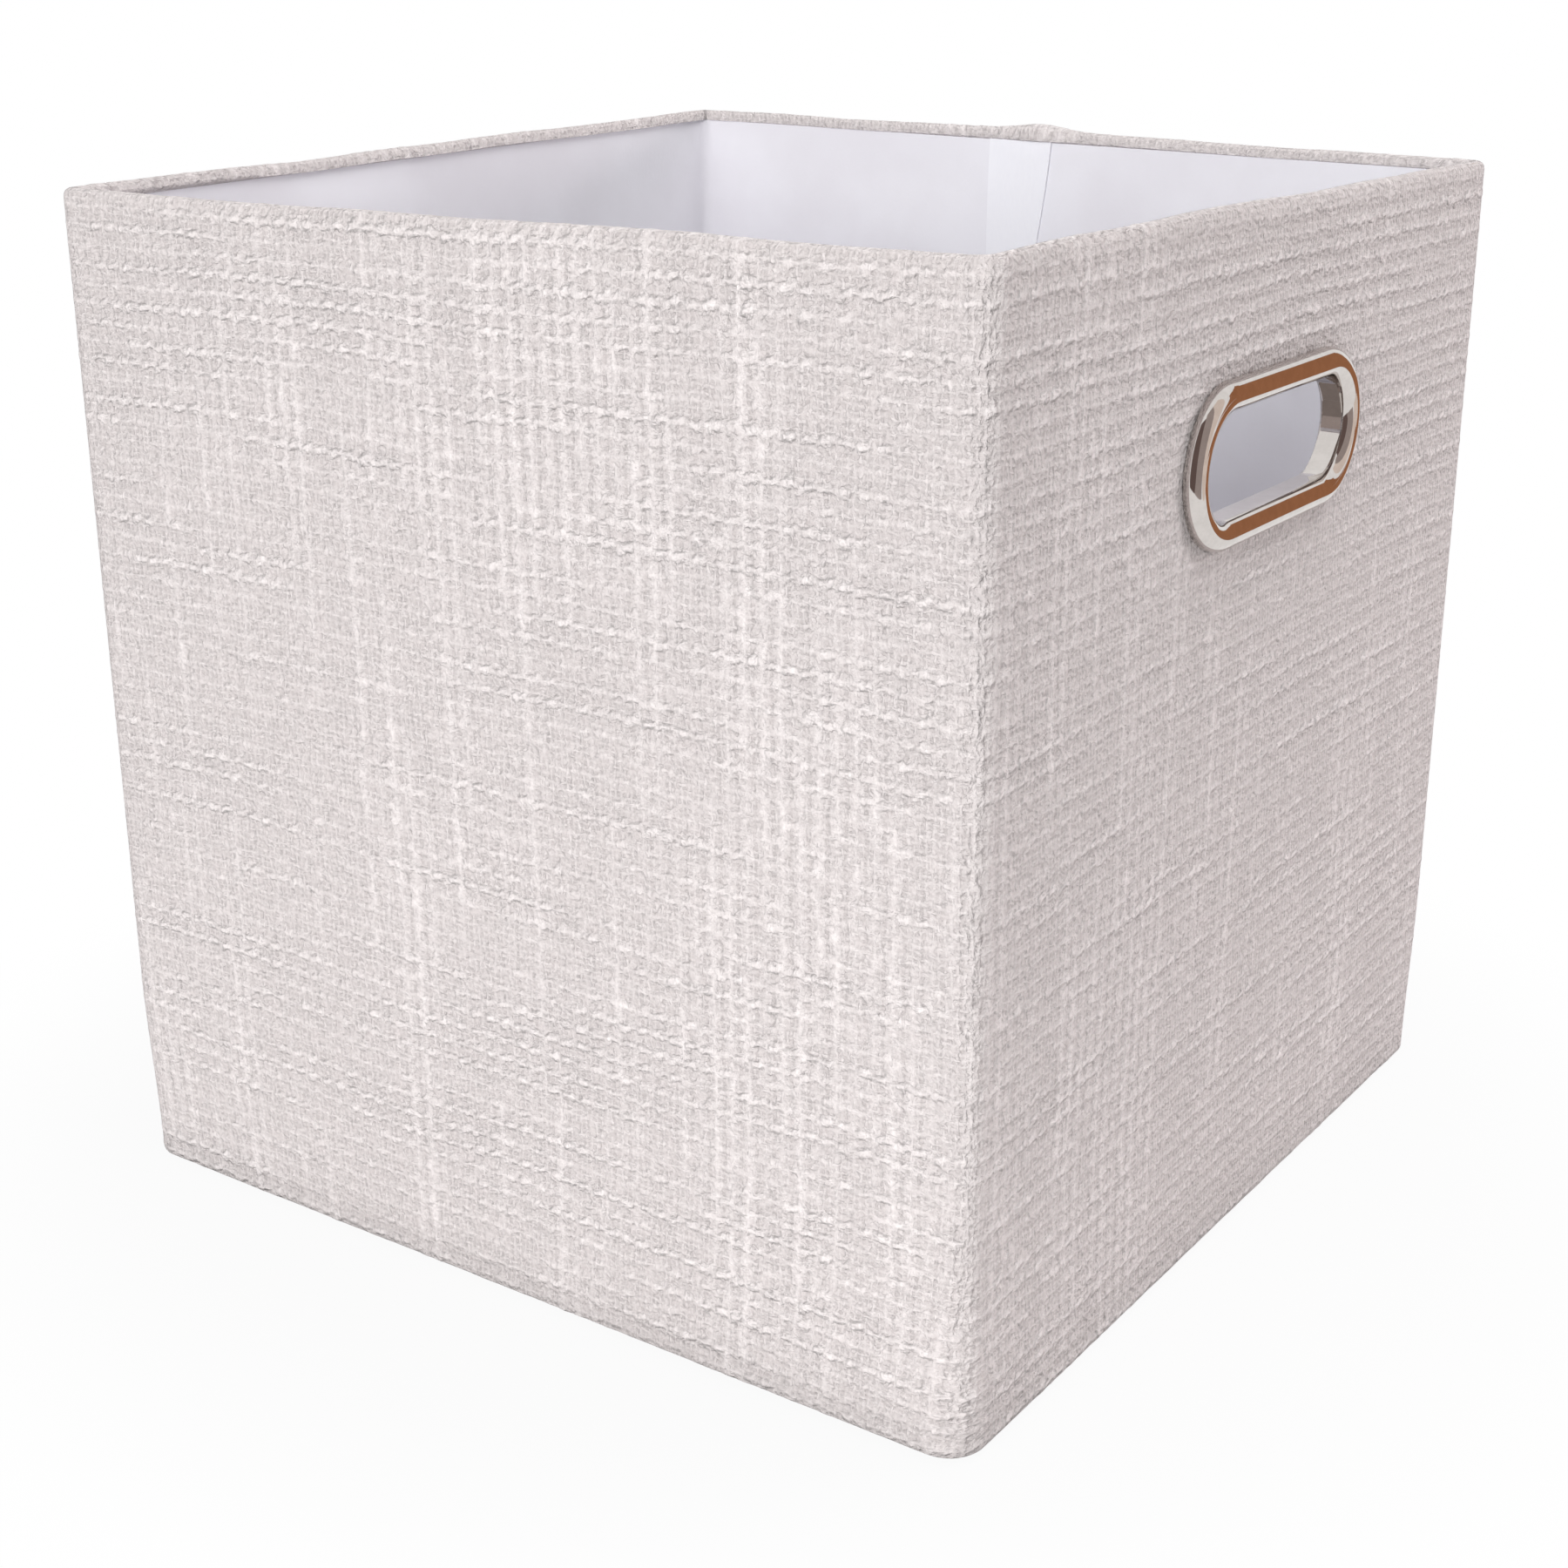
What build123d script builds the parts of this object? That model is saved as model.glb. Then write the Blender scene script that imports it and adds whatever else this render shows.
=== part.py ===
"""Square fabric storage bin with stiff board walls, a white lining, a loose base insert
and a metal grommet handle in each of two opposite walls.

Frame: origin at the centre of the base, +Z up, the handle walls at +X and -X,
the plain front wall at -Y and the back wall, where the cover is joined, at +Y.
"""

import os

from build123d import *

# Overall size, measured over the fabric
width = 330.0
depth = 330.0
height = 332.0
corner_radius = 8.0

# Wall layers, from the outside in
cover_thickness = 1.2
board_thickness = 2.5
lining_thickness = 0.6

# Turned edges of the cover
rim_turn = 6.0
base_turn = 18.0
base_round = 4.0
bottom_cloth_thickness = 1.0

# Joint in the back wall, set to one side of the middle, and the soft fold between the half boards
fold_gap = 12.0
joint_offset = -13.0
lap_width = 36.0
lap_thickness = 1.0
strip_width = 27.0
strip_thickness = 0.5

# Loose base insert
insert_board_thickness = 3.0
insert_wrap_thickness = 0.6
insert_wrap_turn = 20.0
insert_corner_radius = 4.0
insert_clearance = 1.2

# Grommet handles
handle_drop = 71.0
ring_length = 116.0
ring_height = 49.0
ring_band = 9.0
ring_rise = 5.0
ring_sheet = 0.8
clinch_lip = 3.0
clinch_bend = 0.6
washer_thickness = 1.0
washer_band = 7.0
handle_clearance = 0.3

# The least plan radius, for a layer so far in that the corner has turned sharp
least_radius = 0.5

# Sizes that follow from those above
wall_thickness = cover_thickness + board_thickness + lining_thickness
rim_width = wall_thickness + cover_thickness
rim_round = 0.45 * rim_width
crown_round = 0.45 * min(ring_band, 2 * ring_rise)
cover_base = bottom_cloth_thickness
cover_floor = cover_base + cover_thickness
insert_floor = cover_floor + lining_thickness
board_base = cover_base + base_round
board_top = height - rim_round
hem_edge = height - rim_turn
handle_height = height - handle_drop
hole_length = ring_length - 2 * ring_band
hole_height = ring_height - 2 * ring_band
ring_straight = ring_length - ring_height
slot_margin = ring_sheet + handle_clearance
washer_round = 0.6 * washer_thickness
inner_reach = max(rim_width + lap_thickness, wall_thickness + washer_thickness + ring_sheet)
insert_inset = inner_reach + insert_clearance


def block(inset, low, high):
    """A prism on the bin's rounded plan, taken in by an inset, between two heights."""
    radius = max(corner_radius - inset, least_radius)
    outline = RectangleRounded(width - 2 * inset, depth - 2 * inset, radius)
    return Pos(0, 0, low) * extrude(outline, high - low)


def bottom_edges(solid):
    return solid.faces().sort_by(Axis.Z)[0].edges()


def top_edges(solid):
    return solid.faces().sort_by(Axis.Z)[-1].edges()


def handle_slots(margin):
    """A stadium-shaped cutter through both handle walls, a margin larger than the hand hole."""
    outline = SlotOverall(hole_length + 2 * margin, hole_height + 2 * margin)
    return Plane.YZ * Pos(0, handle_height, 0) * extrude(outline, width, both=True)


def closed_section(first, second):
    """The face between two open lines that run side by side."""
    ends = [Line(first @ 0, second @ 0), Line(first @ 1, second @ 1)]
    return make_face([*first.edges(), *second.edges(), *ends])


def rim_band(inset):
    """The cloth's path over the back rim, an inset in from the outside, as (y, z) points with round turns."""
    outside = depth / 2 - inset
    inside = depth / 2 - rim_width + inset
    points = [(outside, board_base), (outside, height - inset), (inside, height - inset), (inside, hem_edge)]
    return FilletPolyline(*points, radius=rim_round - inset)


def make_outer_cover():
    """One strip of cloth round the four walls, turned in over the rim and under the base."""
    shell = fillet(bottom_edges(block(0, cover_base, height)), base_round)
    wall_pocket = block(cover_thickness, cover_floor, hem_edge)
    shell -= fillet(bottom_edges(wall_pocket), base_round - cover_thickness)
    shell -= block(base_turn, cover_base, cover_floor)
    shell -= block(rim_width, hem_edge, height)
    shell = fillet(top_edges(shell), rim_round)

    rim_pocket = block(cover_thickness, hem_edge, height - cover_thickness)
    rim_pocket -= block(rim_width - cover_thickness, hem_edge, height)
    shell -= fillet(top_edges(rim_pocket), rim_round - cover_thickness)
    shell -= handle_slots(slot_margin)

    lap = Plane.YZ * closed_section(rim_band(-lap_thickness), rim_band(0))
    return shell + Pos(joint_offset, 0, 0) * extrude(lap, lap_width / 2, both=True)


def make_bottom_cloth():
    """The flat cloth that covers the turned edges under the base, and stands on the floor."""
    return block(base_round, 0, bottom_cloth_thickness)


def upright_board(thickness, length, rise):
    return Box(thickness, length, rise, align=(Align.CENTER, Align.CENTER, Align.MIN))


def make_handle_board(side):
    """The whole board in a handle wall. side is +1 at +X and -1 at -X."""
    place = side * (width / 2 - cover_thickness - board_thickness / 2)
    board = upright_board(board_thickness, depth - 2 * corner_radius, board_top - board_base)
    return Pos(place, 0, board_base) * board - handle_slots(slot_margin)


def make_half_board(wall, side):
    """Half of a folding wall. wall is +1 at the back and -1 at the front, side is +1 towards +X."""
    length = (width - fold_gap) / 2 - corner_radius
    across = side * (fold_gap + length) / 2
    place = wall * (depth / 2 - cover_thickness - board_thickness / 2)
    board = upright_board(length, board_thickness, board_top - board_base)
    return Pos(across, place, board_base) * board


def make_lining_walls():
    """The lining's four walls, from the lining floor up to the fold inside the rim."""
    outer = block(wall_thickness - lining_thickness, insert_floor, board_top)
    return outer - block(wall_thickness, insert_floor, board_top) - handle_slots(slot_margin)


def make_lining_floor():
    """The lining's floor, over the turned edges of the cover."""
    return block(base_round, cover_floor, insert_floor)


def make_lining_joint_strip():
    """The tape over the lining's joint, up the back wall to the turned rim."""
    place = depth / 2 - wall_thickness - strip_thickness / 2
    strip = upright_board(strip_width, strip_thickness, hem_edge - insert_floor)
    return Pos(joint_offset, place, insert_floor) * strip


def insert_block(inset, low, high):
    """A prism on the base insert's plan."""
    outline = RectangleRounded(
        width - 2 * (insert_inset + inset),
        depth - 2 * (insert_inset + inset),
        max(insert_corner_radius - inset, least_radius),
    )
    return Pos(0, 0, insert_floor + low) * extrude(outline, high - low)


def make_insert_board():
    top = insert_wrap_thickness + insert_board_thickness
    return insert_block(insert_wrap_thickness, insert_wrap_thickness, top)


def make_insert_cover():
    """The white cloth over the base board, turned in underneath it."""
    top = insert_board_thickness + 2 * insert_wrap_thickness
    wrap = insert_block(0, 0, top) - insert_block(insert_wrap_turn, 0, insert_wrap_thickness)
    return wrap - make_insert_board()


def stadium_ring(section):
    """Carries a section round a hand hole, whose length runs along X. The section's x is the distance
    from the line between the two bend centres, and its y the distance out from the wall's face."""
    half = ring_straight / 2
    upright = Plane.XZ * section
    bend = Pos(half, 0, 0) * Rot(0, 0, -90) * revolve(upright, Axis.Z, 180)
    run = Rot(0, 0, 90) * extrude(upright, half, both=True)
    return bend + run + Rot(0, 0, 180) * bend + Rot(0, 0, 180) * run


def on_handle_wall(ring, side):
    """Sets a ring in its handle wall. side is +1 at +X and -1 at -X."""
    face = Plane(origin=(width / 2, 0, handle_height), x_dir=(0, 1, 0), z_dir=(1, 0, 0))
    return Rot(0, 0, 90 - side * 90) * (face * ring)


def ring_line(inset):
    """The formed sheet's line, an inset in from its shown side: from the foot on the cover, over the
    crown, through the wall and out under the washer."""
    foot = ring_height / 2 - inset
    throat = hole_height / 2 + inset
    crown = ring_rise - inset
    lip = inset - ring_sheet - washer_thickness - wall_thickness
    lip_end = hole_height / 2 + ring_sheet + clinch_bend + clinch_lip
    points = [(foot, 0), (foot, crown), (throat, crown), (throat, lip), (lip_end, lip)]
    turn = crown_round - inset
    return FilletPolyline(*points, radius=[turn, turn, clinch_bend + ring_sheet - inset])


def make_grommet_ring(side):
    """The domed ring, pressed from sheet, with its barrel clinched outwards behind the wall."""
    section = closed_section(ring_line(0), ring_line(ring_sheet))
    return on_handle_wall(stadium_ring(section), side)


def make_grommet_washer(side):
    """The flat ring on the lining, held by the clinched lip."""
    inner = hole_height / 2 + ring_sheet + clinch_bend + handle_clearance
    centre = (inner + washer_band / 2, -wall_thickness - washer_thickness / 2)
    section = Pos(*centre) * Rectangle(washer_band, washer_thickness)
    outer_back = section.vertices().sort_by(lambda corner: corner.X - corner.Y)[-1]
    section = fillet(outer_back, washer_round)
    return on_handle_wall(stadium_ring(section), side)


nodes = {
    "outer_cover": make_outer_cover(),
    "bottom_cloth": make_bottom_cloth(),
    "handle_board_right": make_handle_board(1),
    "handle_board_left": make_handle_board(-1),
    "front_board_right": make_half_board(-1, 1),
    "front_board_left": make_half_board(-1, -1),
    "back_board_right": make_half_board(1, 1),
    "back_board_left": make_half_board(1, -1),
    "lining_walls": make_lining_walls(),
    "lining_floor": make_lining_floor(),
    "lining_joint_strip": make_lining_joint_strip(),
    "insert_board": make_insert_board(),
    "insert_cover": make_insert_cover(),
    "grommet_ring_right": make_grommet_ring(1),
    "grommet_ring_left": make_grommet_ring(-1),
    "grommet_washer_right": make_grommet_washer(1),
    "grommet_washer_left": make_grommet_washer(-1),
}

os.makedirs("parts", exist_ok=True)
for name, shape in nodes.items():
    export_step(shape, f"parts/{name}.step")
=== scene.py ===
"""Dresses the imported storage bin: slub-weave cover, white lining, base insert and bright grommets."""

import math

import bpy
import numpy as np
from mathutils import Matrix, Vector


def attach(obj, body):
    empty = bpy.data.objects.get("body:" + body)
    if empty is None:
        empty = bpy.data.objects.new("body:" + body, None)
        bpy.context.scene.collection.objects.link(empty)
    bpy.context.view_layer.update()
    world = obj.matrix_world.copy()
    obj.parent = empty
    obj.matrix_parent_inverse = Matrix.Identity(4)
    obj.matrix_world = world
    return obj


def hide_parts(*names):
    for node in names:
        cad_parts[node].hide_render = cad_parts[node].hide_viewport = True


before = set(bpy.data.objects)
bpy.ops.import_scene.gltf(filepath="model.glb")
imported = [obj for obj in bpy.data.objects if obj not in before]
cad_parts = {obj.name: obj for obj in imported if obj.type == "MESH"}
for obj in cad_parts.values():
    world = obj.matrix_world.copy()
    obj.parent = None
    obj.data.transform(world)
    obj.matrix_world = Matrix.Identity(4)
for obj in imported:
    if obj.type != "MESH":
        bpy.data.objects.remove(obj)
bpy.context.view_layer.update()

MM = 0.001

# Sizes in millimetres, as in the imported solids
SIDE = 330.0
HEIGHT = 332.0
CORNER = 8.0
COVER = 1.2
BOARD = 2.5
LINING = 0.6
BASE = 1.0
BASE_TURN = 18.0
FLOOR_INSET = 4.0
JOINT = -13.0
LAP_WIDTH = 36.0
TAPE_WIDTH = 27.0
HANDLE_DROP = 71.0
RING_LENGTH = 116.0
RING_HEIGHT = 49.0
RING_BAND = 9.0
SLOT_MARGIN = 1.1
INSERT_HALF = 157.3
INSERT_CORNER = 4.0
INSERT_THICKNESS = 4.2
INSERT_TURN = 20.0

# Where the cloth departs from the solids: a shallower hem, a crisper lower edge, tighter corners, which are
# rounder at the near corner and at the foot, and a rim that rises at two corners and falls at the others
RIM_TURN = 4.0
BASE_ROUND = 2.2
CORNER_TIGHT = 4.2
CORNER_NEAR = 3.2
CORNER_FOOT = 4.8
RIM_RISE = 2.0

# Sizes that follow from those above
WALL = COVER + BOARD + LINING
RIM_WIDTH = WALL + COVER
RIM_ROUND = 0.45 * RIM_WIDTH
RIM_LEVEL = HEIGHT - RIM_ROUND
HEM_EDGE = HEIGHT - RIM_TURN
FLOOR = BASE + COVER
INSERT_FLOOR = FLOOR + LINING
LAP_EDGE = JOINT - LAP_WIDTH / 2
HANDLE_HEIGHT = HEIGHT - HANDLE_DROP
HOLE_LENGTH = RING_LENGTH - 2 * (RING_BAND - SLOT_MARGIN)
HOLE_HEIGHT = RING_HEIGHT - 2 * (RING_BAND - SLOT_MARGIN)
INNER_FACE = SIDE / 2 - WALL

# The way round the bin, which starts at the lap's free edge in the back wall
SIDE_LENGTH = SIDE - 2 * CORNER
CORNER_LENGTH = CORNER * math.pi / 2
QUARTER = SIDE_LENGTH + CORNER_LENGTH
ROUND = 4 * QUARTER
TO_LAP = SIDE_LENGTH / 2 - LAP_EDGE
LEAST_RADIUS = 0.6

# The weave: one thick slub yarn in three, both ways, which swells and thins along its length. How much is
# sampled at every run step.
WARP_COUNT = 223
WARP_STEP = ROUND / WARP_COUNT
WEFT_STEP = 6.1
WEFT_START = 2.0
SLUB_HALF = 1.5
WEFT_RISE = 0.55
WARP_RISE = 0.2
RUN_STEP = 2.0

# The inset of the row next to the middle of a flat cloth
MIDDLE = 150.0

chance = np.random.default_rng(20)


def soft_noise(shape, spreads):
    """Noise of mean 0 and spread 1 that repeats at the edges, smoothed over so many samples each way."""
    field = np.fft.fft2(chance.standard_normal(shape))
    for axis, (count, spread) in enumerate(zip(shape, spreads)):
        turns = np.fft.fftfreq(count)
        fade = np.exp(-2 * (np.pi * turns * spread) ** 2)
        field *= fade[:, None] if axis == 0 else fade[None, :]
    field = np.real(np.fft.ifft2(field))
    return (field - field.mean()) / field.std()


def ease(low, high, values):
    """0 below low, 1 above high, and smooth between them."""
    share = np.clip((values - low) / (high - low), 0, 1)
    return share * share * (3 - 2 * share)


def sampled(field, x, y):
    """A field read between its samples, with x and y in samples of its first and second axis."""
    rows, columns = field.shape
    x, y = np.mod(x, rows), np.mod(y, columns)
    x0, y0 = np.floor(x).astype(int) % rows, np.floor(y).astype(int) % columns
    x1, y1 = (x0 + 1) % rows, (y0 + 1) % columns
    fx, fy = x - np.floor(x), y - np.floor(y)
    upper = field[x0, y0] * (1 - fy) + field[x0, y1] * fy
    lower = field[x1, y0] * (1 - fy) + field[x1, y1] * fy
    return upper * (1 - fx) + lower * fx


def round_the_bin(along, inset, corner):
    """Plan points and outward directions at distances along the cover's outside, taken in by an inset. The
    walk goes round by the left, front and right walls. corner is the outer radius."""
    along, inset, corner = np.broadcast_arrays(along, inset, corner)
    walked = np.mod(along + TO_LAP, ROUND)
    wall = np.minimum((walked // QUARTER).astype(int), 3)
    walked = walked - wall * QUARTER
    radius = np.maximum(corner - inset, LEAST_RADIUS)
    straight = SIDE / 2 - inset - radius
    on_wall = walked <= SIDE_LENGTH
    turn = np.clip((walked - SIDE_LENGTH) / CORNER_LENGTH, 0, 1) * math.pi / 2
    run = np.where(on_wall, (walked / SIDE_LENGTH * 2 - 1) * straight, straight + radius * np.sin(turn))
    out = np.where(on_wall, straight + radius, straight + radius * np.cos(turn))
    facing = math.pi / 2 + wall * math.pi / 2
    x = out * np.cos(facing) - run * np.sin(facing)
    y = out * np.sin(facing) + run * np.cos(facing)
    normal = facing + np.where(on_wall, 0, turn)
    return x, y, np.cos(normal), np.sin(normal)


def off_corner(along):
    """How far a place on a wall is from the nearer corner. It is below 0 in a corner."""
    walked = np.mod(along + TO_LAP, QUARTER)
    return np.minimum(walked, SIDE_LENGTH - walked)


def off_ring(y, z):
    """How far a place on a handle wall is from the outline of the ring."""
    past_end = np.maximum(np.abs(y) - (RING_LENGTH - RING_HEIGHT) / 2, 0)
    return np.hypot(past_end, z - HANDLE_HEIGHT) - RING_HEIGHT / 2


def stations(step, corner_parts):
    """Distances round the bin, about a step apart on the walls and closer in the corners."""
    found = []
    for wall in range(4):
        start = wall * QUARTER
        found += list(start + np.linspace(0, SIDE_LENGTH, round(SIDE_LENGTH / step) + 1))
        found += list(start + SIDE_LENGTH + CORNER_LENGTH * np.arange(1, corner_parts) / corner_parts)
    return np.sort(np.mod(np.array(found) - TO_LAP, ROUND))


def thinned(values, least, keep):
    """Sorted values without those that come nearer than least to one before, unless they are in keep."""
    kept = []
    for value in sorted(values):
        fixed = np.min(np.abs(np.asarray(keep) - value)) < 1e-6
        if kept and value - kept[-1][0] < least:
            if not fixed or kept[-1][1]:
                continue
            kept.pop()
        kept.append((value, fixed))
    return np.array([value for value, _ in kept])


def shell(name, points, ring=True, poles=False):
    """A closed mesh from rows of points in millimetres. Each row goes round. ring joins the last row to the
    first, and poles close the first and last rows each with a point in the middle."""
    rows, columns, _ = points.shape
    corners = points.reshape(-1, 3)
    index = np.arange(rows * columns).reshape(rows, columns)
    after = np.roll(index, -1, axis=1)
    upper = np.roll(index, -1, axis=0) if ring else index[1:]
    lower = index if ring else index[:-1]
    upper_after = np.roll(upper, -1, axis=1)
    lower_after = after if ring else after[:-1]
    faces = np.stack([lower, lower_after, upper_after, upper], -1).reshape(-1, 4).tolist()
    if poles:
        middle = np.array([points[0].mean(0), points[-1].mean(0)])
        corners = np.vstack([corners, middle])
        first, last = rows * columns, rows * columns + 1
        faces += [[first, b, a] for a, b in zip(index[0], after[0])]
        faces += [[last, a, b] for a, b in zip(index[-1], after[-1])]
    mesh = bpy.data.meshes.new(name)
    mesh.from_pydata((corners * MM).tolist(), [], faces)
    mesh.polygons.foreach_set("use_smooth", [True] * len(mesh.polygons))
    mesh.update()
    piece = bpy.data.objects.new(name, mesh)
    bpy.context.scene.collection.objects.link(piece)
    return piece


def grid_map(piece, name, across, up, first_after):
    """A UV map on a shell's rows and columns. first_after is the value that the first column takes on the
    face that joins it to the last."""
    mesh = piece.data
    rows, columns = up.shape
    corner = np.empty(len(mesh.loops), np.int64)
    mesh.loops.foreach_get("vertex_index", corner)
    corner = np.minimum(corner, rows * columns - 1)
    u, v = across.reshape(-1)[corner], up.reshape(-1)[corner]
    column = (corner % columns).reshape(-1, 4)
    closing = (column == columns - 1).any(1, keepdims=True) & (column == 0)
    u = np.where(closing.reshape(-1), first_after, u)
    layer = mesh.uv_layers.new(name=name)
    layer.data.foreach_set("uv", np.stack([u, v], -1).reshape(-1).astype(np.float32))


def store(piece, name, values):
    """A number for each point of a piece, for its material to read."""
    kept = piece.data.attributes.new(name, "FLOAT", "POINT")
    full = np.zeros(len(piece.data.vertices), np.float32)
    full[: values.size] = values.reshape(-1)
    kept.data.foreach_set("value", full)


class Term:
    """A socket of a material. Arithmetic on it adds Math nodes."""

    def __init__(self, finish, socket):
        self.finish, self.socket = finish, socket

    def math(self, operation, *values):
        sockets = dict(enumerate(values))
        return self.finish.node("ShaderNodeMath", {"operation": operation}, sockets)

    def __add__(self, other):
        return self.math("ADD", self, other)

    __radd__ = __add__

    def __sub__(self, other):
        return self.math("SUBTRACT", self, other)

    def __rsub__(self, other):
        return self.math("SUBTRACT", other, self)

    def __mul__(self, other):
        return self.math("MULTIPLY", self, other)

    __rmul__ = __mul__

    def absolute(self):
        return self.math("ABSOLUTE", self)

    def fraction(self):
        return self.math("FRACT", self)

    def whole(self):
        return self.math("ROUND", self)

    def floor(self):
        return self.math("FLOOR", self)

    def cosine(self):
        return self.math("COSINE", self)

    def least(self, other):
        return self.math("MINIMUM", self, other)

    def most(self, other):
        return self.math("MAXIMUM", self, other)

    def between(self, low, high):
        """0 below low, 1 above high, and smooth between them."""
        settings = {"interpolation_type": "SMOOTHSTEP"}
        sockets = {"Value": self, "From Min": low, "From Max": high}
        return self.finish.node("ShaderNodeMapRange", settings, sockets)


class Finish:
    """A material, or the world, whose nodes are added one at a time."""

    def __init__(self, name, tree=None):
        if tree is None:
            self.material = bpy.data.materials.new(name)
            self.material.use_nodes = True
            tree = self.material.node_tree
        self.tree = tree
        tree.nodes.clear()

    def node(self, kind, settings=None, sockets=None, output=0):
        node = self.tree.nodes.new(kind)
        for key, value in (settings or {}).items():
            setattr(node, key, value)
        for key, value in (sockets or {}).items():
            if isinstance(value, Term):
                self.tree.links.new(value.socket, node.inputs[key])
            else:
                node.inputs[key].default_value = value
        return Term(self, node.outputs[output]) if len(node.outputs) else None

    def stored(self, name):
        return self.node("ShaderNodeAttribute", {"attribute_name": name}, output="Fac")

    def parts(self, vector, count=3):
        return [self.node("ShaderNodeSeparateXYZ", sockets={0: vector}, output=axis) for axis in range(count)]

    def map(self, name):
        """The two values of a UV map."""
        return self.parts(self.node("ShaderNodeUVMap", {"uv_map": name}), 2)

    def place(self):
        """A point of the piece, in metres."""
        return self.node("ShaderNodeTexCoord", output="Object")

    def vector(self, x, y):
        return self.node("ShaderNodeCombineXYZ", sockets={0: x, 1: y})

    def scaled(self, vector, x, y, z):
        return self.node("ShaderNodeVectorMath", {"operation": "MULTIPLY"}, {0: vector, 1: (x, y, z)})

    def noise(self, vector, scale, detail, rough, size="3D", output="Fac"):
        settings = {"noise_dimensions": size}
        sockets = {"Vector": vector, "Scale": scale, "Detail": detail, "Roughness": rough}
        return self.node("ShaderNodeTexNoise", settings, sockets, output)

    def chance(self, x, y):
        """A number from 0 to 1 for each pair of whole numbers, unlike its neighbours'."""
        settings = {"noise_dimensions": "2D"}
        return self.node("ShaderNodeTexWhiteNoise", settings, {"Vector": self.vector(x, y)})

    def seen_white(self):
        """1 for what the camera sees and what the metal mirrors, and 0 for all other light."""
        camera = self.node("ShaderNodeLightPath", output="Is Camera Ray")
        return camera.most(self.node("ShaderNodeLightPath", output="Is Glossy Ray"))

    def blend(self, share, first, second):
        """Two colours mixed. A colour is three numbers, or a link."""
        first, second = (c if isinstance(c, Term) else (*c, 1.0) for c in (first, second))
        settings = {"data_type": "RGBA"}
        return self.node("ShaderNodeMix", settings, {0: share, 6: first, 7: second}, output=2)

    def bump(self, height, distance, strength):
        sockets = {"Height": height, "Distance": distance, "Strength": strength}
        return self.node("ShaderNodeBump", sockets=sockets)

    def surface(self, **sockets):
        named = {key.replace("_", " "): value for key, value in sockets.items()}
        return self.out(self.node("ShaderNodeBsdfPrincipled", sockets=named))

    def out(self, shader):
        self.node("ShaderNodeOutputMaterial", sockets={"Surface": shader})
        return self.material


def tone(red, green, blue):
    """A screen colour as the renderer's own light values."""
    parts = [channel / 255 for channel in (red, green, blue)]
    return tuple(p / 12.92 if p <= 0.04045 else ((p + 0.055) / 1.055) ** 2.4 for p in parts)


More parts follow.
